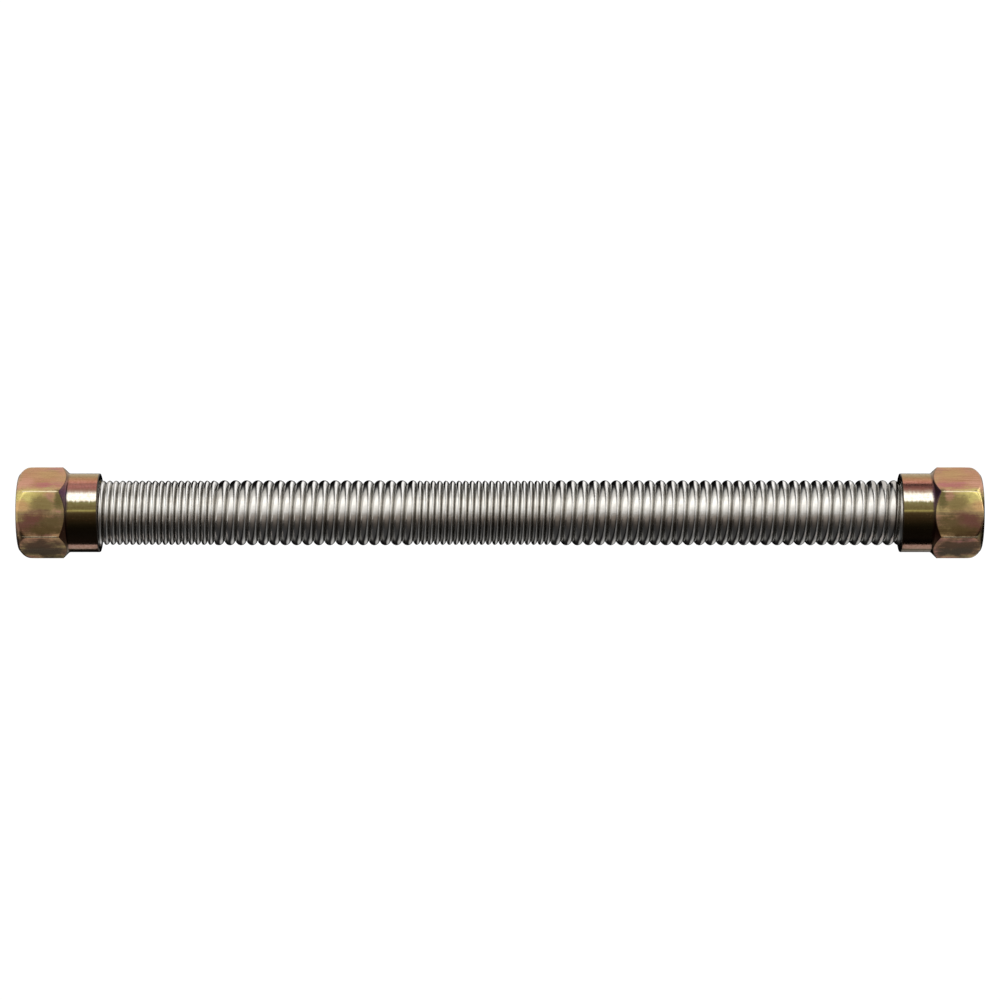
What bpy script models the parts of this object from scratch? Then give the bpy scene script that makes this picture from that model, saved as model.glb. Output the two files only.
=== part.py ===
"""Flexible water line, 15 in long: a helically corrugated stainless tube with a plated union nut
and a flat gasket at each end.

The tube's axis is X and the origin is on it, halfway along. The line lies on a flat of each nut,
so a flat faces down (-Z) and a flat faces up. Depths in a nut run inwards from its mouth.
"""

import math

import bmesh
import bpy
from mathutils import Matrix

# Clearance left wherever two pieces meet
CLEARANCE = 0.0003

# Tube, of one wall thickness throughout
WALL = 0.0003
NECK_DIAMETER = 0.0222
LIP_WIDTH = 0.0015
LIP_BEND = 0.0005
FINE_PITCH = 0.002575
FINE_HEIGHT = 0.00165
COARSE_PITCH = 0.0044
COARSE_HEIGHT = 0.0018
# Stretches of corrugation from left to right: turns, pitch and height
STRETCHES = (
    (19, FINE_PITCH, FINE_HEIGHT),
    (18, COARSE_PITCH, COARSE_HEIGHT),
    (21, FINE_PITCH, FINE_HEIGHT),
    (32, COARSE_PITCH, COARSE_HEIGHT),
)
# Turns over which the corrugation grows out of the neck at either end
RISE_TURNS = 0.5
TUBE_SIDES = 16

# Gasket
GASKET_THICKNESS = 0.003
GASKET_WIDTH = 0.00275

# Nut, turned from hexagon bar
THREAD_HEIGHT = 0.00095
THREAD_DEPTH = 0.0127
COUNTERSINK_STEP = 0.0001
RELIEF_STEP = 0.0002
ROOM_ROUND_LIP = 0.0008
NUT_WALL = 0.002475
HEX_LENGTH = 0.0171
MOUTH_CHAMFER_WIDTH = 0.0011
MOUTH_CHAMFER_ANGLE = math.radians(37)
REAR_CHAMFER_ANGLE = math.radians(45)
COLLAR_STEP = 0.000275
COLLAR_LENGTH = 0.01235
COLLAR_EDGE = 0.0004
RECESS_DEPTH = 0.0035
TURNED_SIDES = 48

# Radii, worked out from the tube outwards
NECK_RADIUS = NECK_DIAMETER / 2
LIP_RADIUS = NECK_RADIUS + LIP_WIDTH
REAR_HOLE_RADIUS = NECK_RADIUS + CLEARANCE
RECESS_RADIUS = NECK_RADIUS + COARSE_HEIGHT + CLEARANCE
RELIEF_RADIUS = LIP_RADIUS + ROOM_ROUND_LIP
THREAD_MAJOR_RADIUS = RELIEF_RADIUS - RELIEF_STEP
THREAD_MINOR_RADIUS = THREAD_MAJOR_RADIUS - THREAD_HEIGHT
COUNTERSINK_RADIUS = THREAD_MAJOR_RADIUS + COUNTERSINK_STEP
GASKET_RADIUS = THREAD_MINOR_RADIUS - CLEARANCE
GASKET_INNER_RADIUS = GASKET_RADIUS - GASKET_WIDTH
HEX_FLAT_RADIUS = RELIEF_RADIUS + NUT_WALL
HEX_CORNER_RADIUS = HEX_FLAT_RADIUS / math.cos(math.pi / 6)
COLLAR_RADIUS = HEX_FLAT_RADIUS - COLLAR_STEP
MOUTH_FACE_RADIUS = HEX_FLAT_RADIUS - MOUTH_CHAMFER_WIDTH

# Depths in the nut: gasket, then the tube's lip, then the shoulder that pulls on the lip
GASKET_DEPTH = THREAD_DEPTH + CLEARANCE
LIP_FRONT_DEPTH = GASKET_DEPTH + GASKET_THICKNESS + CLEARANCE
LIP_REAR_DEPTH = LIP_FRONT_DEPTH + WALL
SHOULDER_DEPTH = LIP_REAR_DEPTH + CLEARANCE
REAR_CHAMFER_LENGTH = (HEX_CORNER_RADIUS - COLLAR_RADIUS) / math.tan(REAR_CHAMFER_ANGLE)
NUT_LENGTH = HEX_LENGTH + REAR_CHAMFER_LENGTH + COLLAR_LENGTH
RECESS_FLOOR = NUT_LENGTH - RECESS_DEPTH

# Lengths along the axis
TURNS = sum(turns for turns, _, _ in STRETCHES)
CORRUGATED_LENGTH = sum(turns * pitch for turns, pitch, _ in STRETCHES)
MOUTH_X = CORRUGATED_LENGTH / 2 + CLEARANCE + RECESS_FLOOR
LIP_X = MOUTH_X - LIP_REAR_DEPTH

# A profile for a cut, or for a blank that is cut, runs on past the faces that it meets by this
OVERRUN = 0.001
MERGE = 0.00001


def clear_scene():
    for obj in list(bpy.data.objects):
        bpy.data.objects.remove(obj)


def new_collection(name):
    collection = bpy.data.collections.new(name)
    bpy.context.scene.collection.children.link(collection)
    return collection


def metal_or_rubber(name, colour, roughness, metallic):
    material = bpy.data.materials.new(name)
    material.use_nodes = True
    shader = material.node_tree.nodes["Principled BSDF"]
    shader.inputs["Base Color"].default_value = (*colour, 1.0)
    shader.inputs["Roughness"].default_value = roughness
    shader.inputs["Metallic"].default_value = metallic
    return material


def add_object(name, mesh, collection, material=None):
    obj = bpy.data.objects.new(name, mesh)
    collection.objects.link(obj)
    if material:
        mesh.materials.append(material)
        mesh.shade_smooth()
        mesh.set_sharp_from_angle(angle=math.radians(30))
    return obj


def turned(name, profile, collection, material=None):
    """A solid or a ring turned about X. The profile is a list of (x, radius), from low x to high x along
    its outer side, closed along the axis or by its own last points."""
    mesh = bpy.data.meshes.new(name)
    closed = min(radius for _, radius in profile) > 0
    edges = [(i, i + 1) for i in range(len(profile) - 1)]
    if closed:
        edges.append((len(profile) - 1, 0))
    mesh.from_pydata([(x, radius, 0.0) for x, radius in profile], edges, [])
    obj = add_object(name, mesh, collection, material)
    screw = obj.modifiers.new("turn", "SCREW")
    screw.axis = "X"
    screw.angle = 2 * math.pi
    screw.steps = TURNED_SIDES
    screw.render_steps = TURNED_SIDES
    screw.use_merge_vertices = True
    screw.merge_threshold = MERGE
    screw.use_normal_flip = True
    return obj


def as_cutter(obj):
    obj.hide_render = True
    obj.display_type = "WIRE"


def boolean(obj, operation, other):
    modifier = obj.modifiers.new(operation.lower(), "BOOLEAN")
    modifier.operation = operation
    modifier.object = other


def place(obj, side):
    """Puts a piece made about a mouth at x = 0, running towards +X, at the left (-1) or right (1) end."""
    if side > 0:
        obj.rotation_euler = (0, 0, math.pi)
    obj.location = (side * MOUTH_X, 0, 0)


def axial_at(turn):
    """Distance along the axis from the first corrugation to a turn, which need not be whole."""
    distance = 0.0
    for turns, pitch, _ in STRETCHES:
        part = min(turn, turns)
        distance += part * pitch
        turn -= part
    return distance


def height_at(turn):
    """Height of the corrugation at a turn. It grows out of one neck and dies away into the other."""
    fade = min(1.0, turn / RISE_TURNS, (TURNS - turn) / RISE_TURNS)
    for turns, _, height in STRETCHES:
        if turn <= turns:
            break
        turn -= turns
    return fade * height


def neck_and_lip(side):
    """Outside of one end of the tube, from the lip's rim to the start of the corrugations."""
    start = side * (CORRUGATED_LENGTH + CLEARANCE) / 2
    lip = side * LIP_X
    bend = side * LIP_BEND
    return [
        (lip, LIP_RADIUS),
        (lip, NECK_RADIUS + LIP_BEND),
        (lip - bend, NECK_RADIUS),
        (start, NECK_RADIUS),
    ]


def meridian(share):
    """Points (x, radius) along the outside of the tube, at this share of a turn from its underside. Crest
    and valley come by turns, half a pitch apart, and move on by a pitch in a full turn."""
    wave = []
    for half in range(2 * TURNS - 1):
        turn = share + half / 2
        rise = 0.0 if half % 2 else height_at(turn)
        wave.append((axial_at(turn) - CORRUGATED_LENGTH / 2, NECK_RADIUS + rise))
    return [*neck_and_lip(-1), *wave, *reversed(neck_and_lip(1))]


def strip(mesh, column, following, first, last, shift=0):
    for i in range(first, last):
        mesh.faces.new(
            (column[i], column[i + 1], following[i + 1 + shift], following[i + shift])
        )


def fan(mesh, centre, rim):
    for i in range(len(rim) - 1):
        mesh.faces.new((centre, rim[i + 1], rim[i]))


def corrugated_tube(collection, material):
    """The whole tube as an open skin between its two lips, given its wall by Solidify. Each column of
    points is a meridian. Going once round, the left-hand helix moves on by a pitch, so the last column
    joins the first one a crest further along, and a fan at each end closes the step that this leaves."""
    skin = bmesh.new()
    columns = []
    for side in range(TUBE_SIDES):
        share = side / TUBE_SIDES
        angle = 2 * math.pi * share
        columns.append(
            [
                skin.verts.new((x, -radius * math.sin(angle), -radius * math.cos(angle)))
                for x, radius in meridian(share)
            ]
        )
    end_points = len(neck_and_lip(1))
    count = len(columns[0])
    wave_first = end_points
    wave_last = count - end_points - 1
    for side in range(TUBE_SIDES - 1):
        strip(skin, columns[side], columns[side + 1], 0, count - 1)
    last, first = columns[-1], columns[0]
    strip(skin, last, first, 0, wave_first - 1)
    strip(skin, last, first, wave_first, wave_last - 2, shift=2)
    strip(skin, last, first, wave_last + 1, count - 1)
    fan(skin, last[wave_first], [last[wave_first - 1], *first[wave_first - 1 : wave_first + 3]])
    fan(skin, first[wave_last], [first[wave_last + 1], *reversed(last[wave_last - 2 : wave_last + 2])])
    mesh = bpy.data.meshes.new("corrugated_tube")
    skin.to_mesh(mesh)
    skin.free()
    obj = add_object("corrugated_tube", mesh, collection, material)
    wall = obj.modifiers.new("wall", "SOLIDIFY")
    wall.thickness = WALL
    wall.offset = -1.0
    wall.use_even_offset = True
    return obj


def nut_blank_profile():
    """What the lathe leaves of the bar: mouth chamfer, room for the hexagon, rear chamfer and collar."""
    full = HEX_CORNER_RADIUS + OVERRUN
    mouth_rise = (full - MOUTH_FACE_RADIUS) * math.tan(MOUTH_CHAMFER_ANGLE)
    rear_fall = OVERRUN / math.tan(REAR_CHAMFER_ANGLE)
    collar_start = HEX_LENGTH + REAR_CHAMFER_LENGTH
    return [
        (0.0, 0.0),
        (0.0, MOUTH_FACE_RADIUS),
        (mouth_rise, full),
        (HEX_LENGTH - rear_fall, full),
        (collar_start, COLLAR_RADIUS),
        (NUT_LENGTH - COLLAR_EDGE, COLLAR_RADIUS),
        (NUT_LENGTH, COLLAR_RADIUS - COLLAR_EDGE),
        (NUT_LENGTH, 0.0),
    ]


def nut_bore_profile():
    """Countersink, thread at its minor diameter, relief for the gasket and the lip, rear hole, and a
    recess that takes in the first turns of the corrugation."""
    mouth_radius = COUNTERSINK_RADIUS + OVERRUN
    countersink_depth = COUNTERSINK_RADIUS - THREAD_MINOR_RADIUS
    return [
        (-OVERRUN, 0.0),
        (-OVERRUN, mouth_radius),
        (countersink_depth, THREAD_MINOR_RADIUS),
        (THREAD_DEPTH, THREAD_MINOR_RADIUS),
        (THREAD_DEPTH, RELIEF_RADIUS),
        (SHOULDER_DEPTH, RELIEF_RADIUS),
        (SHOULDER_DEPTH, REAR_HOLE_RADIUS),
        (RECESS_FLOOR, REAR_HOLE_RADIUS),
        (RECESS_FLOOR, RECESS_RADIUS),
        (NUT_LENGTH + OVERRUN, RECESS_RADIUS),
        (NUT_LENGTH + OVERRUN, 0.0),
    ]


def hexagon_bar(name, collection, material):
    """Bar with a flat up and a flat down, longer than the nut at both ends."""
    mesh = bpy.data.meshes.new(name)
    bar = bmesh.new()
    length = NUT_LENGTH + 2 * OVERRUN
    bmesh.ops.create_cone(
        bar,
        cap_ends=True,
        segments=6,
        radius1=HEX_CORNER_RADIUS,
        radius2=HEX_CORNER_RADIUS,
        depth=length,
        matrix=Matrix.Translation((NUT_LENGTH / 2, 0, 0)) @ Matrix.Rotation(math.pi / 2, 4, "Y"),
    )
    bar.to_mesh(mesh)
    bar.free()
    return add_object(name, mesh, collection, material)


def union_nut(name, side, collection, cutters, material):
    nut = hexagon_bar(name, collection, material)
    blank = turned(name + "_blank", nut_blank_profile(), cutters)
    bore = turned(name + "_bore", nut_bore_profile(), cutters)
    for cutter in (blank, bore):
        as_cutter(cutter)
        place(cutter, side)
    place(nut, side)
    boolean(nut, "INTERSECT", blank)
    boolean(nut, "DIFFERENCE", bore)
    return nut


def gasket(name, side, collection, material):
    profile = [
        (GASKET_DEPTH, GASKET_INNER_RADIUS),
        (GASKET_DEPTH, GASKET_RADIUS),
        (GASKET_DEPTH + GASKET_THICKNESS, GASKET_RADIUS),
        (GASKET_DEPTH + GASKET_THICKNESS, GASKET_INNER_RADIUS),
    ]
    ring = turned(name, profile, collection, material)
    place(ring, side)
    return ring


def main():
    clear_scene()
    parts = new_collection("flex_line")
    cutters = new_collection("cutters")
    steel = metal_or_rubber("stainless_steel", (0.62, 0.61, 0.58), 0.28, 1.0)
    plating = metal_or_rubber("yellow_zinc_plating", (0.58, 0.45, 0.24), 0.32, 1.0)
    rubber = metal_or_rubber("black_rubber", (0.03, 0.03, 0.03), 0.7, 0.0)
    corrugated_tube(parts, steel)
    for side, end in ((-1, "left"), (1, "right")):
        union_nut(end + "_nut", side, parts, cutters, plating)
        gasket(end + "_gasket", side, parts, rubber)


main()
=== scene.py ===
"""Looks of the flex line: a corrugated stainless tube with a yellow-chromated swivel nut and a rubber
gasket at each end, on a white table, seen from almost straight above.

Lengths are in metres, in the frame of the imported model: the tube's axis is X, and the camera looks down
-Z with +Y up in the picture. Angles about the axis are measured from +Z towards +Y.
"""

import math

import bpy
import numpy as np
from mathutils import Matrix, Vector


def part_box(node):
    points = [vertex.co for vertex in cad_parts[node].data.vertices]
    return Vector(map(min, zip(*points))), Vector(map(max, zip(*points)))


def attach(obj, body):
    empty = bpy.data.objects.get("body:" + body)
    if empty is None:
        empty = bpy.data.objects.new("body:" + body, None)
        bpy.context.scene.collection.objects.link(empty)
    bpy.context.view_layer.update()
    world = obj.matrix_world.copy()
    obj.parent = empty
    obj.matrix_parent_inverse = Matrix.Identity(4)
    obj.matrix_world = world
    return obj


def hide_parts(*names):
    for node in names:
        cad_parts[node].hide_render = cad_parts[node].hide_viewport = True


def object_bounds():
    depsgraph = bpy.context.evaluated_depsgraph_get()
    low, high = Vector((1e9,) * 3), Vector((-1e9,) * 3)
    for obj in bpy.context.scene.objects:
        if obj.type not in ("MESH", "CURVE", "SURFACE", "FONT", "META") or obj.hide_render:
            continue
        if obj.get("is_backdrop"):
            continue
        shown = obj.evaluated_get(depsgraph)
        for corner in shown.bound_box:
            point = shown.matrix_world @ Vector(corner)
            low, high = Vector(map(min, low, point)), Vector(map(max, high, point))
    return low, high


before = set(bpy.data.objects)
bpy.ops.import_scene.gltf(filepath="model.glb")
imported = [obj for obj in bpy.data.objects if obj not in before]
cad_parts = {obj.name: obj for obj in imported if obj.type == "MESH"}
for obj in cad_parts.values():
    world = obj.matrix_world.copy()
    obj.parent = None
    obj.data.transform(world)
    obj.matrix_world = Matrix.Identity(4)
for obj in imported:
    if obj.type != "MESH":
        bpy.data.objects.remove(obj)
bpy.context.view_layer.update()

MM = 0.001

# Tube, as in the part's source
WALL = 0.3 * MM
NECK_RADIUS = 11.1 * MM
LIP_RADIUS = 12.6 * MM
LIP_BEND = 0.5 * MM
LIP_BEND_STEPS = 6
FINE_PITCH = 2.575 * MM
COARSE_PITCH = 4.4 * MM
# Stretches from left to right: turns, pitch, height, and how many turns the crests lean to the right
STRETCHES = (
    (19, FINE_PITCH, 1.65 * MM, -0.12),
    (18, COARSE_PITCH, 1.8 * MM, 0.0),
    (21, FINE_PITCH, 1.65 * MM, -0.12),
    (32, COARSE_PITCH, 1.8 * MM, 0.0),
)
# Turns over which the corrugation grows out of the neck at either end
RISE_TURNS = 0.5
# The neck's straight part ends this far short of the corrugation
NECK_GAP = 0.15 * MM
# Turns to either side of a change of stretch over which sizes blend
CHANGE_TURNS = 0.25
# Each corrugation is an arc of an ellipse, this far to either side of its crest
BEAD_ARC = math.radians(70)
TUBE_SIDES = 72
OUTER_SAMPLES = 12
INNER_SAMPLES = 2

# Nut, as in the part's source, with the edges of real plated work
MOUTH_CHAMFER_WIDTH = 1.1 * MM
MOUTH_ROUND_LENGTH = 6.0 * MM
MOUTH_ROUND_POWER = 2.4
MOUTH_EDGE = 1.3 * MM
MOUTH_EDGE_STEPS = 12
MOUTH_BLEND = 0.5 * MM
REAR_CHAMFER_ANGLE = math.radians(45)
HEX_LENGTH = 17.1 * MM
COLLAR_STEP = 0.275 * MM
COLLAR_EDGE = 0.4 * MM
THREAD_DEPTH = 12.7 * MM
THREAD_HEIGHT = 0.95 * MM
THREAD_PITCH = 25.4 * MM / 14
THREAD_START = 0.12 * MM
THREAD_LEAD_IN = 0.35 * MM
THREAD_STEPS = 10
# Slope of the groove's flanks and width of the crest, in a wave of height and length 1
THREAD_FLANK = 1.5
THREAD_CREST = 0.25
RELIEF_RADIUS = 13.4 * MM
THREAD_MAJOR_RADIUS = 13.2 * MM
COUNTERSINK_RADIUS = 13.3 * MM
REAR_HOLE_RADIUS = 11.4 * MM
RECESS_RADIUS = 13.2 * MM
RECESS_DEPTH = 3.5 * MM
SHOULDER_DEPTH = 16.9 * MM
HEX_EDGE_ROUNDING = 0.3 * MM
HEX_CROWN = 0.18 * MM
FILLET = 0.5 * MM
# Past the shoulder, the fillet has run out after this
FILLET_END = 0.3 * MM
SMALL_ROUNDING = 0.12 * MM
# Points round a sixth of the nut, and how closely they crowd at its corners
SECTOR_SAMPLES = 44
CORNER_CROWDING = 0.8
# Spacing of points along the nut on straight stretches and on curves
STRAIGHT_SPACING = 1.2 * MM
MOUTH_SPACING = 0.15 * MM
SHOULDER_SPACING = 0.09 * MM
RIM_SPACING = 0.06 * MM
# Close spacing runs on past a curve by this, and begins this far before the collar's end
CURVE_MARGIN = 0.4 * MM
RIM_LENGTH = 0.6 * MM

# Gasket
GASKET_WIDTH = 2.75 * MM
GASKET_ROUNDING = 0.35 * MM
GASKET_EDGE_STEPS = 4
GASKET_SIDES = 96

# Photograph
FRAME_WIDTH_PX = 1000
METRES_PER_PX = 0.3965 * MM
CAMERA_DISTANCE_PX = 4000
AXIS_BELOW_CENTRE_PX = 12.8
CAMERA_TILT = math.radians(2.1)
SENSOR_WIDTH = 36
CLIP_START = 0.01

# Light
FLOOR_STRENGTH = 1.05
FLOOR_SIZE = 4
FLOOR_DROP = 0.1 * MM
NEUTRAL = (1.0, 0.99, 0.96)
WARM = (1.0, 0.87, 0.77)
COOL = (0.97, 0.98, 1.0)
CREAM = (1.0, 0.97, 0.93)


def mesh_object(name, points, faces, material, smooth_angle):
    """A new object in its material slot, with edges sharper than this many degrees left sharp."""
    mesh = bpy.data.meshes.new(name)
    mesh.from_pydata(points.tolist(), [], faces)
    mesh.materials.append(material)
    mesh.shade_smooth()
    mesh.set_sharp_from_angle(angle=math.radians(smooth_angle))
    obj = bpy.data.objects.new(name, mesh)
    bpy.context.scene.collection.objects.link(obj)
    return obj


def smooth_min(a, b, rounding):
    """The smaller of two surfaces, with the edge between them rounded."""
    blend = np.clip(0.5 + (b - a) / (2 * rounding), 0, 1)
    return b + (a - b) * blend - rounding * blend * (1 - blend)


def smooth_max(a, b, rounding):
    return -smooth_min(-a, -b, rounding)


# Tube


TURNS = sum(stretch[0] for stretch in STRETCHES)
CORRUGATED_LENGTH = sum(stretch[0] * stretch[1] for stretch in STRETCHES)
TUBE_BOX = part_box("corrugated_tube")


def axial_at(turns):
    """Distances along the axis from the first corrugation to turns, which need not be whole."""
    ends = np.cumsum([0] + [stretch[0] for stretch in STRETCHES])
    distances = np.cumsum([0] + [stretch[0] * stretch[1] for stretch in STRETCHES])
    return np.interp(turns, ends, distances)


def crest_at(turns):
    """Height and lean of the corrugation at turns, blended at each change of stretch."""
    knots, heights, leans = [], [], []
    start = 0
    for count, _, height, lean in STRETCHES:
        knots += [start + CHANGE_TURNS, start + count - CHANGE_TURNS]
        heights += [height] * 2
        leans += [lean] * 2
        start += count
    fade = np.clip(np.minimum(turns, TURNS - turns) / RISE_TURNS, 0, 1)
    fade = fade * fade * (3 - 2 * fade)
    return fade * np.interp(turns, knots, heights), fade * np.interp(turns, knots, leans)


def lip_and_neck(side, inset):
    """Points (x, radius) from the lip's rim to the start of the corrugations, on the outer skin or, with the
    wall as inset, on the inner one."""
    rim = TUBE_BOX[0].x if side < 0 else TUBE_BOX[1].x
    face = rim - side * (WALL - inset)
    start = side * (CORRUGATED_LENGTH / 2 + NECK_GAP)
    bend = LIP_BEND + inset
    points = [(face, LIP_RADIUS)]
    for step in range(LIP_BEND_STEPS + 1):
        angle = math.pi / 2 * step / LIP_BEND_STEPS
        x = face - side * bend * (1 - math.cos(angle))
        points.append((x, NECK_RADIUS - inset + bend * (1 - math.sin(angle))))
    points.append((start, NECK_RADIUS - inset))
    return points


def meridian(share, samples, inset):
    """Points (x, radius) along one skin of the tube at this share of a turn from its underside. Crests
    come by whole turns and move on by a pitch in a full turn."""
    step = np.arange(samples * (TURNS - 1) + 1)
    within = step % samples
    from_crest = np.minimum(within, samples - within)
    arc = BEAD_ARC * from_crest / (samples / 2)
    phase = np.sin(arc) / math.sin(BEAD_ARC) / 2
    phase = np.where(within * 2 <= samples, phase, 1 - phase)
    rise = (np.cos(arc) - math.cos(BEAD_ARC)) / (1 - math.cos(BEAD_ARC))
    turns = share + step // samples + phase
    height, lean = crest_at(turns)
    x = axial_at(turns + lean * rise) - CORRUGATED_LENGTH / 2
    wave = zip(x.tolist(), (NECK_RADIUS + height * rise - inset).tolist())
    return [*lip_and_neck(-1, inset), *wave, *reversed(lip_and_neck(1, inset))]


def skin(samples, inset):
    """Points, faces and points in a column of one skin of the tube, facing outwards. The last column meets
    the first one a turn on, so two fans close what is left at the ends of the helix."""
    columns = [meridian(side / TUBE_SIDES, samples, inset) for side in range(TUBE_SIDES)]
    end_points = len(lip_and_neck(1, inset))
    count = len(columns[0])
    profile = np.array(columns)
    angle = 2 * math.pi * np.arange(TUBE_SIDES)[:, None] / TUBE_SIDES
    x, radius = profile[..., 0], profile[..., 1]
    points = np.stack([x, -radius * np.sin(angle), -radius * np.cos(angle)], -1).reshape(-1, 3)
    faces = []

    def strip(column, following, first, last, shift=0):
        for i in range(first, last):
            beside = following + i + shift
            faces.append((column + i, column + i + 1, beside + 1, beside))

    def fan(centre, rim):
        for i in range(len(rim) - 1):
            faces.append((centre, rim[i + 1], rim[i]))

    for side in range(TUBE_SIDES - 1):
        strip(side * count, (side + 1) * count, 0, count - 1)
    last, first = (TUBE_SIDES - 1) * count, 0
    wave_first, wave_last = end_points, count - end_points - 1
    strip(last, first, 0, wave_first - 1)
    strip(last, first, wave_first, wave_last - samples, samples)
    strip(last, first, wave_last + 1, count - 1)
    fan(
        last + wave_first,
        [last + wave_first - 1, *range(first + wave_first - 1, first + wave_first + samples + 1)],
    )
    fan(
        first + wave_last,
        [first + wave_last + 1, *reversed(range(last + wave_last - samples, last + wave_last + 2))],
    )
    return points, faces, count


def tube(material):
    """Both skins of the tube, joined round the rim of each lip."""
    outer_points, outer_faces, outer_count = skin(OUTER_SAMPLES, 0.0)
    inner_points, inner_faces, inner_count = skin(INNER_SAMPLES, WALL)
    offset = len(outer_points)
    faces = list(outer_faces)
    faces += [tuple(offset + i for i in reversed(face)) for face in inner_faces]
    for side in range(TUBE_SIDES):
        following = (side + 1) % TUBE_SIDES
        outer, inner = side * outer_count, offset + side * inner_count
        outer_next, inner_next = following * outer_count, offset + following * inner_count
        faces.append((outer, outer_next, inner_next, inner))
        last, last_next = outer + outer_count - 1, outer_next + outer_count - 1
        inner_last, inner_last_next = inner + inner_count - 1, inner_next + inner_count - 1
        faces.append((last, inner_last, inner_last_next, last_next))
    obj = mesh_object(
        "tube", np.vstack([outer_points, inner_points]), faces, material, 60
    )
    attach(obj, "tube")
    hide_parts("corrugated_tube")


# Nuts


def revolved(stations, radii, angles):
    """Points and faces of a closed band round the axis, from its radii by station and angle."""
    rows, sides = radii.shape
    x = np.repeat(stations[:, None], sides, 1)
    points = np.stack([x, radii * np.sin(angles), radii * np.cos(angles)], -1).reshape(-1, 3)
    faces = []
    for row in range(rows):
        here, after = row * sides, (row + 1) % rows * sides
        for side in range(sides):
            following = (side + 1) % sides
            faces.append((here + side, after + side, after + following, here + following))
    return points, faces


def evenly(start, end, spacing):
    """Values from start to end, about this far apart."""
    return np.linspace(start, end, max(2, round(abs(end - start) / spacing) + 1))


def nut_angles():
    """Angles about the axis, crowded at the hexagon's corners, which are at 30 degrees from +Z and so on."""
    even = np.arange(SECTOR_SAMPLES) / SECTOR_SAMPLES
    sector = even - CORNER_CROWDING * np.sin(2 * math.pi * even) / (2 * math.pi)
    corners = math.pi / 6 + np.arange(6)[:, None] * math.pi / 3
    return (corners + sector * math.pi / 3).ravel()


def rounded_off(distance, rounding):
    """What a quarter round takes off the radius at this distance from an end face."""
    return rounding * (1 - np.sqrt(1 - np.clip(1 - distance / rounding, 0, 1) ** 2))


def nut_outside(flat_radius, length, angles):
    """Stations and radii of the outside, from the mouth's face to the collar's end."""
    corner_radius = flat_radius / math.cos(math.pi / 6)
    collar_radius = flat_radius - COLLAR_STEP
    collar_start = HEX_LENGTH + (corner_radius - collar_radius) / math.tan(REAR_CHAMFER_ANGLE)
    mouth_radius = flat_radius - MOUTH_CHAMFER_WIDTH
    mouth_end = MOUTH_ROUND_LENGTH + CURVE_MARGIN
    shoulder_start = HEX_LENGTH - CURVE_MARGIN
    shoulder_end = collar_start + FILLET
    rim_start = length - RIM_LENGTH
    stations = np.concatenate(
        [
            MOUTH_EDGE * (1 - np.cos(np.linspace(0, math.pi / 2, MOUTH_EDGE_STEPS))),
            evenly(MOUTH_EDGE, mouth_end, MOUTH_SPACING)[1:],
            evenly(mouth_end, shoulder_start, STRAIGHT_SPACING)[1:],
            evenly(shoulder_start, shoulder_end, SHOULDER_SPACING)[1:],
            evenly(shoulder_end, rim_start, STRAIGHT_SPACING)[1:],
            evenly(rim_start, length, RIM_SPACING)[1:],
        ]
    )
    x = stations[:, None]
    within = (angles + math.pi / 6) % (math.pi / 3) - math.pi / 6
    # A hexagon with rounded corners and slightly crowned flats: a flat and its neighbour, blended
    crown = HEX_CROWN * (np.tan(within) / math.tan(math.pi / 6)) ** 2
    flat = (flat_radius - crown) / np.cos(within)
    neighbour = (flat_radius - crown) / np.cos(math.pi / 3 - np.abs(within))
    hexagon = smooth_min(flat, neighbour, HEX_EDGE_ROUNDING)[None, :]
    short_of_round = np.clip(1 - x / MOUTH_ROUND_LENGTH, 0, 1) ** MOUTH_ROUND_POWER
    past_round = np.maximum(0, x - MOUTH_ROUND_LENGTH)
    mouth_cone = corner_radius - (corner_radius - mouth_radius) * short_of_round + past_round
    rear_cone = corner_radius - (x - HEX_LENGTH) * math.tan(REAR_CHAMFER_ANGLE)
    radii = smooth_min(hexagon, mouth_cone, MOUTH_BLEND)
    radii = smooth_min(radii, rear_cone, SMALL_ROUNDING)
    radii = smooth_max(radii, np.full_like(radii, collar_radius), FILLET)
    radii = np.where(x > collar_start + FILLET_END, collar_radius, radii)
    radii = radii - rounded_off(x, MOUTH_EDGE) - rounded_off(length - x, COLLAR_EDGE)
    return stations, radii


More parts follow.
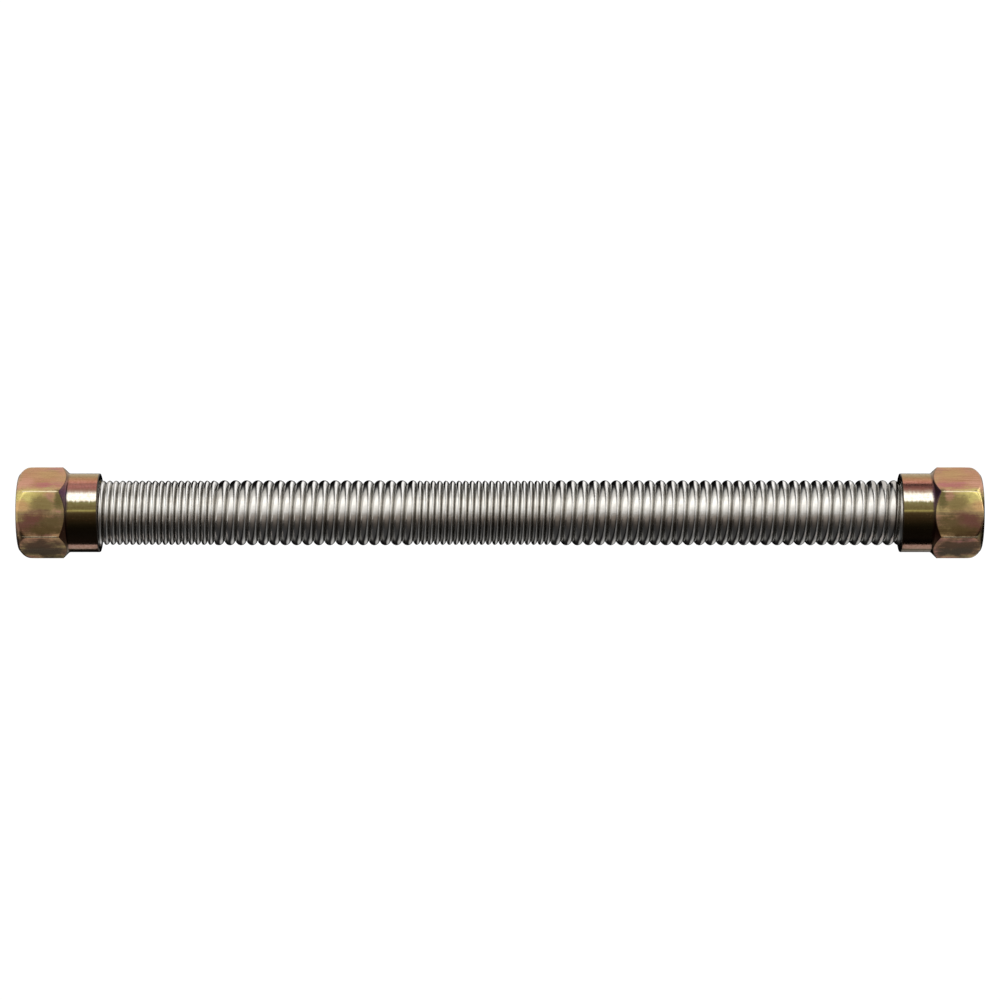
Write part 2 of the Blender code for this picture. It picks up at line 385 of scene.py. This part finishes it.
def nut_inside(length, angles):
    """Stations and radii of the inside, from the collar's end back to the mouth: recess, rear hole,
    shoulder, relief and a right-hand thread."""
    ones = np.ones(len(angles))
    rows = []
    edge = SMALL_ROUNDING * 2

    def ring(x, radius):
        rows.append((x, ones * radius))

    ring(length, RECESS_RADIUS + edge)
    ring(length - edge / 3, RECESS_RADIUS + edge / 3)
    ring(length - edge, RECESS_RADIUS)
    ring(length - RECESS_DEPTH, RECESS_RADIUS)
    ring(length - RECESS_DEPTH, REAR_HOLE_RADIUS + edge)
    ring(length - RECESS_DEPTH - edge, REAR_HOLE_RADIUS)
    ring(SHOULDER_DEPTH + edge, REAR_HOLE_RADIUS)
    ring(SHOULDER_DEPTH, REAR_HOLE_RADIUS + edge)
    ring(SHOULDER_DEPTH, RELIEF_RADIUS - edge)
    ring(SHOULDER_DEPTH - edge, RELIEF_RADIUS)
    ring(THREAD_DEPTH + edge, RELIEF_RADIUS)
    minor = THREAD_MAJOR_RADIUS - THREAD_HEIGHT
    for x in evenly(THREAD_DEPTH, THREAD_START, THREAD_PITCH / THREAD_STEPS):
        # Seen from the mouth a right-hand thread goes in as it turns clockwise
        phase = (x / THREAD_PITCH + angles / (2 * math.pi)) % 1.0
        groove = np.clip((1 - 2 * np.abs(phase - 0.5)) * THREAD_FLANK - THREAD_CREST, 0, 1)
        lead_in = np.clip((COUNTERSINK_RADIUS - minor - x) / THREAD_LEAD_IN, 0, 1)
        run_out = np.clip((x - THREAD_DEPTH + THREAD_PITCH / 2) / (THREAD_PITCH / 2), 0, 1)
        radius = minor + THREAD_HEIGHT * np.maximum(groove, np.maximum(lead_in, run_out))
        rows.append((x, np.minimum(radius, THREAD_MAJOR_RADIUS)))
    ring(0.0, COUNTERSINK_RADIUS)
    return np.array([row[0] for row in rows]), np.array([row[1] for row in rows])


def nut(side, material):
    """One nut, made from its mouth at x = 0 towards +X, then put at the left (-1) or right (1) end."""
    name = "left_nut" if side < 0 else "right_nut"
    low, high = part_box(name)
    length = high.x - low.x
    mouth_x = low.x if side < 0 else high.x
    angles = nut_angles()
    outer_stations, outer_radii = nut_outside(high.z, length, angles)
    inner_stations, inner_radii = nut_inside(length, angles)
    stations = np.concatenate([outer_stations, inner_stations])
    radii = np.vstack([outer_radii, inner_radii])
    points, faces = revolved(stations, radii, angles)
    if side > 0:
        points = points * [-1, -1, 1]
    points = points + [mouth_x, 0, 0]
    obj = mesh_object(name + "_plated", points, faces, material, 50)
    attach(obj, name)
    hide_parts(name)


# Gaskets


def gasket(side, material):
    """One gasket: a ring whose section is a rectangle with rounded corners."""
    name = "left_gasket" if side < 0 else "right_gasket"
    low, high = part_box(name)
    outer, inner = high.z, high.z - GASKET_WIDTH
    corners = ((high.x, outer), (low.x, outer), (low.x, inner), (high.x, inner))
    signs = ((1, 1), (-1, 1), (-1, -1), (1, -1))
    profile = []
    for quarter, ((x, radius), (along, out)) in enumerate(zip(corners, signs)):
        for step in range(GASKET_EDGE_STEPS + 1):
            angle = math.pi / 2 * (quarter + step / GASKET_EDGE_STEPS)
            edge_x = x + GASKET_ROUNDING * (math.cos(angle) - along)
            profile.append((edge_x, radius + GASKET_ROUNDING * (math.sin(angle) - out)))
    profile = np.array(profile)
    angles = np.linspace(0, 2 * math.pi, GASKET_SIDES, endpoint=False)
    radii = np.repeat(profile[:, 1:], GASKET_SIDES, 1)
    points, faces = revolved(profile[:, 0], radii, angles)
    faces = [tuple(reversed(face)) for face in faces]
    obj = mesh_object(name + "_rubber", points, faces, material, 60)
    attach(obj, "tube")
    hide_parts(name)


# Materials


class Nodes:
    """Short ways to add and join shader nodes."""

    def __init__(self, tree):
        self.tree = tree

    def add(self, kind, **settings):
        node = self.tree.nodes.new(kind)
        for name, value in settings.items():
            setattr(node, name, value)
        return node

    def link(self, source, target):
        self.tree.links.new(source, target)

    def math(self, operation, a, b=None, c=None):
        node = self.add("ShaderNodeMath", operation=operation)
        for socket, value in zip(node.inputs, (a, b, c)):
            if value is None:
                continue
            if isinstance(value, (int, float)):
                socket.default_value = value
            else:
                self.link(value, socket)
        return node.outputs[0]

    def times(self, a, b):
        return self.math("MULTIPLY", a, b)

    def hypotenuse(self, a, b):
        return self.math("SQRT", self.math("ADD", self.times(a, a), self.times(b, b)))

    def angle(self, y, z):
        """The angle about X in degrees, from +Z towards +Y."""
        return self.times(self.math("ARCTAN2", y, z), 180 / math.pi)

    def coordinates(self, kind):
        """Texture coordinates of this kind, whole and as X, Y and Z."""
        whole = self.add("ShaderNodeTexCoord").outputs[kind]
        split = self.add("ShaderNodeSeparateXYZ")
        self.link(whole, split.inputs[0])
        return whole, *split.outputs

    def range(self, value, low, high, to_low=0.0, to_high=1.0, kind="LINEAR"):
        node = self.add("ShaderNodeMapRange", interpolation_type=kind, clamp=True)
        self.link(value, node.inputs["Value"])
        for name, number in (("From Min", low), ("From Max", high), ("To Min", to_low), ("To Max", to_high)):
            node.inputs[name].default_value = number
        return node.outputs["Result"]

    def ramp(self, value, stops):
        node = self.add("ShaderNodeValToRGB")
        elements = node.color_ramp.elements
        for position, colour in stops[2:]:
            elements.new(position)
        for element, (position, colour) in zip(elements, sorted(stops)):
            element.position = position
            element.color = (*colour, 1.0)
        self.link(value, node.inputs["Fac"])
        return node.outputs["Color"]

    def ramp_round(self, angle, stops):
        """A ramp whose stops are in degrees, from -180 to 180."""
        stops = [((degrees + 180) / 360, colour) for degrees, colour in stops]
        return self.ramp(self.range(angle, -180, 180), stops)

    def mix(self, factor, a, b, blend="MIX"):
        node = self.add("ShaderNodeMix", data_type="RGBA", blend_type=blend)
        for socket, value in ((node.inputs[0], factor), (node.inputs[6], a), (node.inputs[7], b)):
            if isinstance(value, (int, float)) and socket == node.inputs[0]:
                socket.default_value = value
            elif isinstance(value, (int, float)):
                socket.default_value = (value, value, value, 1.0)
            elif isinstance(value, tuple):
                socket.default_value = (*value, 1.0)
            else:
                self.link(value, socket)
        return node.outputs[2]

    def noise(self, vector, scale, detail=2.0, roughness=0.5):
        node = self.add("ShaderNodeTexNoise")
        self.link(vector, node.inputs["Vector"])
        node.inputs["Scale"].default_value = scale
        node.inputs["Detail"].default_value = detail
        node.inputs["Roughness"].default_value = roughness
        return node.outputs["Fac"]

    def stretched(self, vector, scale):
        node = self.add("ShaderNodeMapping")
        self.link(vector, node.inputs["Vector"])
        node.inputs["Scale"].default_value = scale
        return node.outputs["Vector"]

    def bump(self, height, strength, distance):
        node = self.add("ShaderNodeBump")
        self.link(height, node.inputs["Height"])
        node.inputs["Strength"].default_value = strength
        node.inputs["Distance"].default_value = distance
        return node.outputs["Normal"]


def new_material(name, metallic, roughness):
    """A material, its nodes and its shader, whose colour and bump the caller links."""
    material = bpy.data.materials.new(name)
    material.use_nodes = True
    shader = material.node_tree.nodes["Principled BSDF"]
    shader.inputs["Metallic"].default_value = metallic
    shader.inputs["Roughness"].default_value = roughness
    return material, Nodes(material.node_tree), shader


# Radii between which the painted shade in the grooves sets in, and how strong it gets
CREST_TO_GROOVE_SHADE = (12.4 * MM, 11.4 * MM)
GROOVE_SHADE_STRENGTH = 0.32


def stainless():
    """Drawn steel, with painted shade that darkens the grooves towards their roots."""
    material, nodes, shader = new_material("stainless_steel_with_groove_shade", 1.0, 0.2)
    place, _, y, z = nodes.coordinates("Object")
    cloud = nodes.noise(nodes.stretched(place, (60, 120, 120)), 1.0, 3)
    colour = nodes.ramp(cloud, [(0.3, (0.66, 0.64, 0.61)), (0.7, (0.78, 0.765, 0.74))])
    # Faint stains of heat and drawing oil
    stain = nodes.range(nodes.noise(place, 260.0, 4, 0.6), 0.5, 0.75, 0.0, 0.5)
    colour = nodes.mix(stain, colour, (0.50, 0.46, 0.41))
    # Painted shade: darker towards the roots of the grooves
    groove_shade = nodes.range(nodes.hypotenuse(y, z), *CREST_TO_GROOVE_SHADE, 0.0, GROOVE_SHADE_STRENGTH)
    colour = nodes.mix(groove_shade, colour, (0.29, 0.29, 0.27))
    nodes.link(colour, shader.inputs["Base Color"])
    nodes.link(nodes.range(cloud, 0.3, 0.7, 0.15, 0.22), shader.inputs["Roughness"])
    # Drawing marks run along the tube, so they spread its reflections around it
    marks = nodes.noise(nodes.stretched(place, (160, 2600, 2600)), 1.0, 3, 0.6)
    nodes.link(nodes.bump(marks, 0.5, 0.05 * MM), shader.inputs["Normal"])
    return material


# Clouds of the chromate film on the hexagon, by noise
FILM_CLOUDS = (
    (0.34, (0.50, 0.48, 0.20)),
    (0.44, (0.74, 0.60, 0.28)),
    (0.52, (0.84, 0.52, 0.30)),
    (0.60, (0.70, 0.34, 0.32)),
    (0.68, (0.46, 0.44, 0.22)),
)
# Patches of colour on it: angle and depth from the mouth of the middle, half-widths in both, and colour.
# Angles are in degrees and depths in millimetres. Some are painted light: the bright patches on the upper
# front are a painted highlight, and the dark ones on the front's lower half and on the lower faces are
# painted shade.
FILM_AND_LIGHT_PATCHES = (
    (60, 9, 34, 14, (0.75, 0.40, 0.23)),
    (48, 3.0, 13, 4, (0.90, 0.48, 0.34)),
    (44, 12.5, 8, 6, (0.70, 0.28, 0.26)),
    (72, 12.0, 12, 6, (0.74, 0.46, 0.22)),
    (8, 6, 26, 12, (0.62, 0.45, 0.21)),
    (23, 5.2, 12, 7.5, (1.0, 0.87, 0.32)),
    (11, 2.6, 9, 3.5, (0.96, 0.62, 0.30)),
    (15, 11.5, 13, 6, (0.40, 0.31, 0.13)),
    (21, 16.8, 14, 2.2, (0.24, 0.20, 0.08)),
    (24, 14.0, 6, 1.6, (0.60, 0.34, 0.22)),
    (1, 11, 4, 12, (0.52, 0.38, 0.21)),
    (-16, 9, 15, 15, (0.28, 0.20, 0.10)),
    (-7, 8.0, 11, 7, (0.29, 0.13, 0.10)),
    (-19, 4.2, 11, 5, (0.28, 0.13, 0.10)),
    (-9, 14.5, 12, 5.5, (0.24, 0.175, 0.08)),
    (-23, 11.5, 8, 10, (0.20, 0.14, 0.06)),
    (-60, 9, 34, 14, (0.125, 0.072, 0.034)),
    (-70, 10, 14, 11, (0.075, 0.055, 0.024)),
    (180, 8, 24, 8, (0.80, 0.62, 0.30)),
    (135, 12, 16, 7, (0.72, 0.30, 0.30)),
    (108, 6, 14, 6, (0.62, 0.66, 0.30)),
    (-128, 7, 18, 7, (0.80, 0.46, 0.30)),
)
# Bands of colour round the collar, by angle: film tints, with painted shade in the dark band from about -49
# to 3 degrees, and painted highlights in the pale lines near -57 and 5 degrees and in the near-white band
# from 20 to 31 degrees
COLLAR_FILM_AND_LIGHT_BANDS = (
    (-180, (0.62, 0.52, 0.26)),
    (-140, (0.70, 0.42, 0.34)),
    (-100, (0.55, 0.50, 0.24)),
    (-80, (0.26, 0.20, 0.10)),
    (-65, (0.28, 0.20, 0.11)),
    (-62.2, (0.78, 0.56, 0.46)),
    (-52, (0.82, 0.56, 0.48)),
    (-49, (0.30, 0.18, 0.13)),
    (-44, (0.13, 0.08, 0.05)),
    (-20, (0.07, 0.06, 0.03)),
    (0.3, (0.10, 0.068, 0.03)),
    (3.4, (0.15, 0.11, 0.045)),
    (4.6, (0.46, 0.39, 0.14)),
    (5.8, (0.44, 0.39, 0.14)),
    (7.0, (0.18, 0.15, 0.06)),
    (12, (0.16, 0.13, 0.055)),
    (17.8, (0.19, 0.18, 0.08)),
    (20.4, (0.95, 0.93, 0.86)),
    (31.0, (0.97, 0.95, 0.90)),
    (35, (0.50, 0.37, 0.31)),
    (38, (0.40, 0.21, 0.17)),
    (42, (0.46, 0.19, 0.17)),
    (46, (0.72, 0.32, 0.28)),
    (52, (0.86, 0.39, 0.31)),
    (59, (0.72, 0.37, 0.21)),
    (68, (0.56, 0.39, 0.18)),
    (110, (0.66, 0.58, 0.26)),
    (180, (0.62, 0.52, 0.26)),
)
# Painted shade on the shoulder in dark film tints, lightest towards the top, from an angle of -90 degrees
# (0) to one of 90 (1)
SHOULDER_SHADE = (
    (0.0, (0.16, 0.13, 0.06)),
    (0.33, (0.07, 0.02, 0.015)),
    (0.5, (0.06, 0.045, 0.03)),
    (0.67, (0.06, 0.022, 0.06)),
    (0.78, (0.16, 0.08, 0.07)),
    (1.0, (0.40, 0.28, 0.15)),
)
# A patch is full inside the second of these shares of its size and gone outside the first
PATCH_FADE = (1.35, 0.35)
# Where one finish gives way to the next: depths from the mouth in millimetres
WORN_AND_HIGHLIT_TO_SHARP = (17.0, 16.0)
HEXAGON_TO_SHOULDER = (17.0, 17.3)
FILM_TO_BANDS = (19.3, 19.8)
SHOULDER_TO_COLLAR = (20.8, 19.9)
# Distances short of the shoulder's cone in millimetres, and of the collar's end, over which their painted
# shade sets in
FLAT_TO_CONE = (0.45, 0.15)
COLLAR_TO_END = (0.55, 0.35)
# Worn edges with a painted highlight: degrees from the middle of a flat, and radii
FLAT_TO_WORN_AND_HIGHLIT = (28.6, 29.8)
CHAMFER_TO_WORN_AND_HIGHLIT = (17.4 * MM, 17.7 * MM)


def patch(nodes, angle, depth, spot, ragged):
    """1 in the middle of a patch of colour and 0 outside it, with a ragged edge."""
    middle, middle_depth, half, half_depth, _ = spot
    across = nodes.math("DIVIDE", nodes.math("SUBTRACT", angle, middle), half)
    along = nodes.math("DIVIDE", nodes.math("SUBTRACT", depth, middle_depth), half_depth)
    distance = nodes.math("ADD", nodes.hypotenuse(across, along), ragged)
    return nodes.range(distance, *PATCH_FADE, kind="SMOOTHSTEP")


def hexagon_film_and_light(nodes, place, angle, depth, ragged):
    """Soft clouds of colour, and over them the patches, some of them painted highlights and some painted
    shade.
    """
    film_and_light = nodes.ramp(nodes.noise(nodes.stretched(place, (60, 110, 110)), 1.0, 3), FILM_CLOUDS)
    for spot in FILM_AND_LIGHT_PATCHES:
        film_and_light = nodes.mix(patch(nodes, angle, depth, spot, ragged), film_and_light, spot[-1])
    return film_and_light


def collar_film_and_light(nodes, place, angle, mottle):
    """Bands round the collar, film tints with painted highlights and painted shade, mottled, and ragged
    along their edges.
    """
    jag = nodes.noise(nodes.stretched(place, (1400, 160, 160)), 1.0, 3, 0.6)
    jag = nodes.times(nodes.range(jag, 0.25, 0.75, -1.5, 1.5), nodes.range(angle, 8, 16, 0.2, 1.0))
    # Film tints with painted highlights and painted shade, by angle round the collar
    film_and_light_bands = nodes.ramp_round(nodes.math("ADD", angle, jag), COLLAR_FILM_AND_LIGHT_BANDS)
    return nodes.mix(nodes.range(mottle, 0.35, 0.7, 0.0, 0.8), film_and_light_bands, (0.80, 0.72, 0.62), "MULTIPLY")


def on_shoulder(nodes, depth, radius, cloud):
    """1 on the cone between hexagon and collar, and 0 elsewhere."""
    corner_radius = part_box("right_nut")[1].y
    cone = nodes.math("SUBTRACT", corner_radius / MM + HEX_LENGTH / MM, depth)
    short_of_cone = nodes.math("SUBTRACT", cone, nodes.times(radius, 1 / MM))
    ragged_depth = nodes.math("ADD", depth, nodes.range(cloud, 0.3, 0.7, -0.4, 0.4))
    near_cone = nodes.range(short_of_cone, *FLAT_TO_CONE)
    before_collar = nodes.times(near_cone, nodes.range(ragged_depth, *SHOULDER_TO_COLLAR))
    return nodes.times(before_collar, nodes.range(depth, *HEXAGON_TO_SHOULDER))


def worn_and_highlit_edges(nodes, angle, depth, radius, cloud):
    """1 along the edges between the hexagon's flats, where wear and a painted highlight go, and 0 elsewhere.
    """
    within = nodes.math("ABSOLUTE", nodes.math("WRAP", angle, 30.0, -30.0))
    within = nodes.math("ADD", within, nodes.range(cloud, 0.2, 0.8, -0.7, 0.7))
    worn_and_highlit = nodes.range(within, *FLAT_TO_WORN_AND_HIGHLIT, kind="SMOOTHSTEP")
    worn_and_highlit = nodes.times(worn_and_highlit, nodes.range(depth, *WORN_AND_HIGHLIT_TO_SHARP))
    return nodes.times(worn_and_highlit, nodes.range(radius, *CHAMFER_TO_WORN_AND_HIGHLIT))


def yellow_chromate():
    """Iridescent film on brushed flats and a turned collar, with painted highlights and painted shade in its
    patches and bands, painted shade on the shoulder and the collar's end, and worn edges along the hexagon
    painted bright as wear and as a highlight.
    """
    material, nodes, shader = new_material("yellow_chromate_with_painted_light", 1.0, 0.25)
    place, x, y, z = nodes.coordinates("Object")
    angle, radius = nodes.angle(y, z), nodes.hypotenuse(y, z)
    low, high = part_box("right_nut")
    depth = nodes.times(nodes.math("SUBTRACT", high.x, nodes.math("ABSOLUTE", x)), 1 / MM)

    # Streaks along the axis, clouds and mottle, for everything that varies
    streak = nodes.noise(nodes.stretched(place, (70, 1500, 1500)), 1.0, 4, 0.65)
    cloud = nodes.noise(place, 190.0, 4, 0.6)
    mottle = nodes.noise(place, 900.0, 3, 0.6)
    ragged = nodes.range(cloud, 0.2, 0.8, -0.6, 0.6)
    ragged = nodes.math("ADD", ragged, nodes.range(streak, 0.25, 0.75, -0.32, 0.32))

    on_collar = nodes.range(depth, *FILM_TO_BANDS)
    # Film colours of the hexagon, with a painted highlight and painted shade in some patches
    film_and_light = hexagon_film_and_light(nodes, place, angle, depth, ragged)
    colour = nodes.mix(on_collar, film_and_light, collar_film_and_light(nodes, place, angle, mottle))
    # Painted shade on the shoulder and on the collar's end, in dark film tints
    shoulder_shade = nodes.times(on_shoulder(nodes, depth, radius, cloud), 0.95)
    colour = nodes.mix(shoulder_shade, colour, nodes.ramp(nodes.range(angle, -90, 90), SHOULDER_SHADE))
    # Painted shade on the collar's end
    end_from, end_full = ((high.x - low.x) / MM - short for short in COLLAR_TO_END)
    colour = nodes.mix(nodes.range(depth, end_from, end_full), colour, (0.10, 0.08, 0.06))

    # Streaks and specks over all of it, and then the worn edges, painted bright as wear and as a highlight
    colour = nodes.mix(nodes.range(streak, 0.35, 0.7, 0.0, 0.6), colour, (0.66, 0.56, 0.44), "MULTIPLY")
    speck = nodes.range(nodes.noise(place, 1500.0, 2), 0.66, 0.74, 0.0, 0.6)
    colour = nodes.mix(speck, colour, (0.24, 0.13, 0.06))
    # Worn edges, painted bright as wear and as a highlight
    worn_and_highlit = worn_and_highlit_edges(nodes, angle, depth, radius, cloud)
    colour = nodes.mix(nodes.times(worn_and_highlit, 0.9), colour, (0.95, 0.84, 0.60))
    nodes.link(colour, shader.inputs["Base Color"])

    # Brushed flats are rougher than the turned collar, and the worn, highlit edges rougher still
    flats = nodes.range(streak, 0.3, 0.7, 0.16, 0.30)
    turned = nodes.range(mottle, 0.3, 0.7, 0.13, 0.22)
    nodes.link(nodes.mix(worn_and_highlit, nodes.mix(on_collar, flats, turned), 0.55), shader.inputs["Roughness"])
    height = nodes.mix(on_collar, streak, mottle)
    nodes.link(nodes.bump(height, 0.35, 0.03 * MM), shader.inputs["Normal"])
    return material


def black_rubber():
    """Dull moulded rubber with a fine grain."""
    material, nodes, shader = new_material("black_rubber_finish", 0.0, 0.6)
    place, *_ = nodes.coordinates("Object")
    speck = nodes.noise(place, 900.0, 3)
    colour = nodes.ramp(speck, [(0.35, (0.018, 0.018, 0.019)), (0.7, (0.045, 0.045, 0.046))])
    nodes.link(colour, shader.inputs["Base Color"])
    nodes.link(nodes.bump(speck, 0.3, 0.05 * MM), shader.inputs["Normal"])
    return material


# Stage


def emitter(name, size, location, colour, strength, seen_by_camera):
    """A flat card facing +Z that glows, either for the camera alone or for reflections alone."""
    half_x, half_y = size[0] / 2, size[1] / 2
    corners = [(-half_x, -half_y, 0), (half_x, -half_y, 0), (half_x, half_y, 0), (-half_x, half_y, 0)]
    mesh = bpy.data.meshes.new(name)
    mesh.from_pydata(corners, [], [(0, 1, 2, 3)])
    material = bpy.data.materials.new(name)
    material.use_nodes = True
    tree = material.node_tree
    tree.nodes.clear()
    glow = tree.nodes.new("ShaderNodeEmission")
    glow.inputs["Color"].default_value = (*colour, 1.0)
    glow.inputs["Strength"].default_value = strength
    output = tree.nodes.new("ShaderNodeOutputMaterial")
    tree.links.new(glow.outputs[0], output.inputs[0])
    mesh.materials.append(material)
    obj = bpy.data.objects.new(name, mesh)
    obj.location = location
    bpy.context.scene.collection.objects.link(obj)
    obj.visible_camera = seen_by_camera
    obj.visible_glossy = not seen_by_camera
    obj.visible_diffuse = not seen_by_camera
    obj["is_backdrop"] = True
    return obj


# Light from all round, by angle about X: level and tint
STUDIO_LIGHT = (
    (-180, 0.02, COOL),
    (-145, 0.05, COOL),
    (-130, 0.22, NEUTRAL),
    (-115, 0.20, NEUTRAL),
    (-102, 0.07, COOL),
    (-83, 0.052, COOL),
    (-63, 0.046, COOL),
    (-47, 0.056, WARM),
    (-31, 0.11, WARM),
    (-24, 0.21, WARM),
    (-16, 0.29, WARM),
    (-9.5, 0.36, WARM),
    (-2, 0.48, NEUTRAL),
    (2, 0.64, NEUTRAL),
    (5, 0.78, NEUTRAL),
    (12, 0.97, NEUTRAL),
    (19, 1.12, NEUTRAL),
    (27, 1.28, NEUTRAL),
    (38, 1.60, NEUTRAL),
    (58, 1.50, NEUTRAL),
    (64, 1.05, NEUTRAL),
    (74, 0.90, NEUTRAL),
    (93, 0.70, NEUTRAL),
    (106, 0.28, COOL),
    (117, 0.06, COOL),
    (140, 0.03, COOL),
    (180, 0.02, COOL),
)
# How strong the softbox is by direction, from -X (-1) to +X (1)
SOFTBOX_ALONG = (
    (-1.0, 0.40),
    (-0.93, 0.55),
    (-0.80, 0.95),
    (-0.60, 1.0),
)
# Slope of the softbox's +X end and of the bright rim beyond it, in the plane of X and Z, and how far
# beyond that slope the softbox fades out and the rim fades in and out
RIM_SLOPE = 0.874
SOFTBOX_TO_GAP = (-0.15, 0.10)
GAP_TO_RIM = (0.45, 0.65)
RIM_TO_DARK = (1.20, 1.0)
GAP_LEVEL = 0.10
RIM_LEVEL = 1.4
RIM_LEVEL_IN_FRONT = 0.20
RIM_LEVEL_AT_FLOOR = 0.55
# Keeps a direction straight down from dividing by nothing
STRAIGHT_DOWN = 0.0001


def softbox(nodes, x, y, z, out, strongest):
    """One long softbox on the +Y side, a gradient over the angle about X, which ends in a dark gap."""
    levels = [
        (degrees, tuple(level / strongest * part for part in tint))
        for degrees, level, tint in STUDIO_LIGHT
    ]
    around = nodes.ramp_round(nodes.angle(y, z), levels)
    stops = [((place + 1) / 2, (value,) * 3) for place, value in SOFTBOX_ALONG]
    studio = nodes.mix(1.0, around, nodes.ramp(nodes.range(x, -1, 1), stops), "MULTIPLY")
    gap = nodes.times(nodes.range(out, *SOFTBOX_TO_GAP), nodes.range(z, 0.75, 0.35, 0.25, 1.0))
    return nodes.mix(gap, studio, nodes.mix(1.0, studio, GAP_LEVEL, "MULTIPLY"))


def bright_rim(nodes, x, y, z, out, strongest):
    """The rim beyond the gap, which runs down to the table on both sides, weaker in front."""
    rim = nodes.times(nodes.range(out, *GAP_TO_RIM), nodes.range(out, *RIM_TO_DARK))
    # None of it straight across the line or straight below
    flat = nodes.math("ADD", nodes.times(x, x), nodes.times(y, y))
    compass = nodes.math("DIVIDE", x, nodes.math("SQRT", nodes.math("ADD", flat, STRAIGHT_DOWN)))
    rim = nodes.times(rim, nodes.range(compass, 0.08, 0.22))
    rim = nodes.times(rim, nodes.range(z, -0.96, -0.86))
    level = nodes.math(
        "MAXIMUM",
        nodes.range(y, -0.25, 0.10, RIM_LEVEL_IN_FRONT / strongest, RIM_LEVEL / strongest),
        nodes.range(z, -0.35, -0.60, 0.0, RIM_LEVEL_AT_FLOOR / strongest),
    )
    return nodes.times(rim, level)


def studio_world():
    """A dark studio with a softbox and a rim for the metal, and a pale backdrop for the camera alone."""
    world = bpy.data.worlds.new("studio")
    world.use_nodes = True
    bpy.context.scene.world = world
    nodes = Nodes(world.node_tree)
    strongest = max(level for _, level, _ in STUDIO_LIGHT)
    _, x, y, z = nodes.coordinates("Generated")
    out = nodes.math("SUBTRACT", x, nodes.times(z, RIM_SLOPE))
    studio = softbox(nodes, x, y, z, out, strongest)
    studio = nodes.mix(1.0, studio, bright_rim(nodes, x, y, z, out, strongest), "ADD")
    background = world.node_tree.nodes["Background"]
    nodes.link(studio, background.inputs["Color"])
    background.inputs["Strength"].default_value = strongest
    backdrop = nodes.add("ShaderNodeBackground")
    backdrop.inputs["Color"].default_value = (1, 1, 1, 1)
    backdrop.inputs["Strength"].default_value = FLOOR_STRENGTH
    mixed = nodes.add("ShaderNodeMixShader")
    nodes.link(nodes.add("ShaderNodeLightPath").outputs["Is Camera Ray"], mixed.inputs[0])
    nodes.link(background.outputs[0], mixed.inputs[1])
    nodes.link(backdrop.outputs[0], mixed.inputs[2])
    nodes.link(mixed.outputs[0], world.node_tree.nodes["World Output"].inputs["Surface"])


# Patches of the table that glow in the metal near each nut: name, size, place, colour and strength.
# X is a distance from the middle of the line, on both sides.
TABLE_GLOWS = (
    ("glow_behind_nut", (0.10, 0.18), (0.20, 0.11), CREAM, 0.72),
    ("glow_in_front", (0.05, 0.062), (0.188, -0.071), (1, 0.9, 0.86), 0.46),
)


def floor():
    """A white table for the camera, and the patches of it that glow in the metal."""
    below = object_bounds()[0].z - FLOOR_DROP
    emitter("floor", (FLOOR_SIZE, FLOOR_SIZE), (0, 0, below), (1, 1, 1), FLOOR_STRENGTH, True)
    for side in (-1, 1):
        for name, size, (x, y), colour, strength in TABLE_GLOWS:
            emitter(name, size, (side * x, y, below), colour, strength, False)
    # A card that stands beyond the left nut
    beside = emitter("glow_beside_left_nut", (0.16, 0.20), (-0.28, 0.05, 0.04), CREAM, 0.75, False)
    beside.rotation_euler = (0, math.pi / 2, 0)


def camera():
    """A long lens above the line, tilted a little towards its -Y side."""
    data = bpy.data.cameras.new("camera")
    obj = bpy.data.objects.new("camera", data)
    bpy.context.scene.collection.objects.link(obj)
    distance = CAMERA_DISTANCE_PX * METRES_PER_PX
    data.sensor_width = SENSOR_WIDTH
    data.lens = SENSOR_WIDTH * CAMERA_DISTANCE_PX / FRAME_WIDTH_PX
    obj.rotation_euler = (-CAMERA_TILT, 0, 0)
    obj.location = (0, distance * math.sin(CAMERA_TILT), distance * math.cos(CAMERA_TILT))
    data.shift_y = AXIS_BELOW_CENTRE_PX / FRAME_WIDTH_PX
    data.clip_start = CLIP_START
    bpy.context.scene.camera = obj


def colour_management():
    """Plain colours, so that the pale table stays white."""
    view = bpy.context.scene.view_settings
    view.view_transform = "Standard"
    view.look = "None"


def main():
    colour_management()
    camera()
    studio_world()
    steel = stainless()
    plating = yellow_chromate()
    rubber = black_rubber()
    tube(steel)
    for side in (-1, 1):
        nut(side, plating)
        gasket(side, rubber)
    floor()


main()
